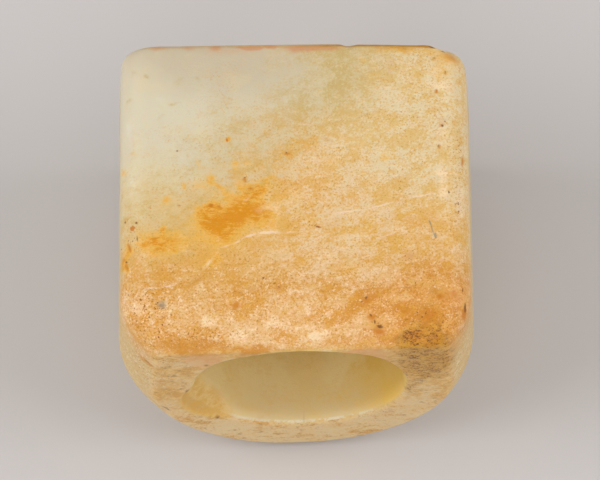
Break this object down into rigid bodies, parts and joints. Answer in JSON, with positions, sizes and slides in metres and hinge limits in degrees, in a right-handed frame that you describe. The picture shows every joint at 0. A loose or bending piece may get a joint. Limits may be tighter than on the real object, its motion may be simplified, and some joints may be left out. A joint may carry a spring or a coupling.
{
  "type": "thumb ring",
  "caption": "Jade thumb ring with a flat front, a round back, a wide drilled hole for the thumb, a square-cut end and a bevelled end; it lies on its back with the flat front up.",
  "frame": {"origin": "under the middle of the ring's box, on the small flat of the round back that it rests on", "axes": "+Z out of the flat front, +Y along the thumb hole towards the square-cut end, -Y towards the bevelled end, +X towards the right flank as seen from the bevelled end"},
  "size_m": [0.0354, 0.032, 0.0306],
  "materials": {
    "jade": "worn polish on nephrite: pale greenish white at one corner, altered to tan and orange over the rest, with fine pits, whitish flecks and hairline veins"
  },
  "bodies": {
    "root": {"thumb_ring": "jade"}
  },
  "joints": []
}
